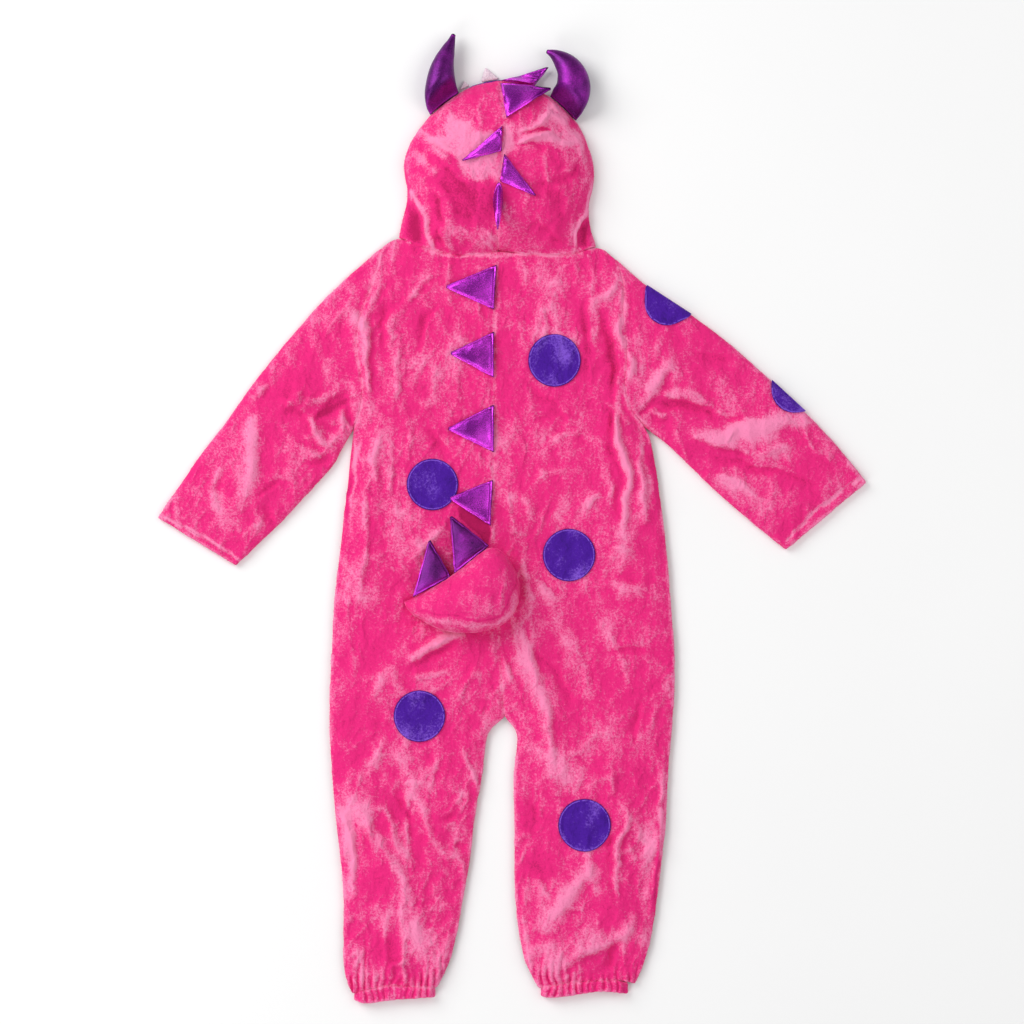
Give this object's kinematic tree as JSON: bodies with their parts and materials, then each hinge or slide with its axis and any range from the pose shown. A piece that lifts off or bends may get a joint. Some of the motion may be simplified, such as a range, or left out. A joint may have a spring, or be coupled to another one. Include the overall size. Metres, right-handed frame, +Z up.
{
  "type": "toddler monster costume jumpsuit",
  "caption": "Hooded one-piece costume in plush, laid flat back up, with horns, spikes, a stuffed tail, round patches, long sleeves and gathered ankles.",
  "frame": {"origin": "on the surface the garment lies on, under the middle of its laid-out outline", "axes": "+Y from the ankles to the hood, +Z up out of the surface and through the back of the garment, +X to the right as seen from above with the hood away from the viewer"},
  "size_m": [0.708, 0.9679, 0.0505],
  "materials": {
    "pink plush": "crushed short-pile plush with light nap patches",
    "indigo plush": "short-pile plush with a satin-stitched edge",
    "purple foil cloth": "metallic foil-coated cloth, lightly stuffed",
    "pale felt": "plain felt"
  },
  "bodies": {
    "root": {"back_left": "pink plush", "back_right": "pink plush", "front_left": "pink plush", "front_right": "pink plush", "front_placket": "pink plush", "sleeve_left": "pink plush", "sleeve_right": "pink plush", "ankle_casing_left": "pink plush", "ankle_casing_right": "pink plush", "hood_left": "pink plush", "hood_right": "pink plush", "tail_top": "pink plush", "tail_under": "pink plush", "hood_front_band": "indigo plush", "dot_back_upper": "indigo plush", "dot_back_left": "indigo plush", "dot_back_lower": "indigo plush", "dot_leg_left": "indigo plush", "dot_leg_right": "indigo plush", "dot_sleeve_upper": "indigo plush", "dot_sleeve_lower": "indigo plush", "horn_left": "purple foil cloth", "horn_right": "purple foil cloth", "hood_spike_1": "purple foil cloth", "hood_spike_2": "purple foil cloth", "hood_spike_3": "purple foil cloth", "hood_spike_4": "purple foil cloth", "hood_spike_5": "purple foil cloth", "back_spike_1": "purple foil cloth", "back_spike_2": "purple foil cloth", "back_spike_3": "purple foil cloth", "back_spike_4": "purple foil cloth", "tail_spike_1": "purple foil cloth", "tail_spike_2": "purple foil cloth", "tooth_large": "pale felt", "tooth_small": "pale felt"}
  },
  "joints": []
}
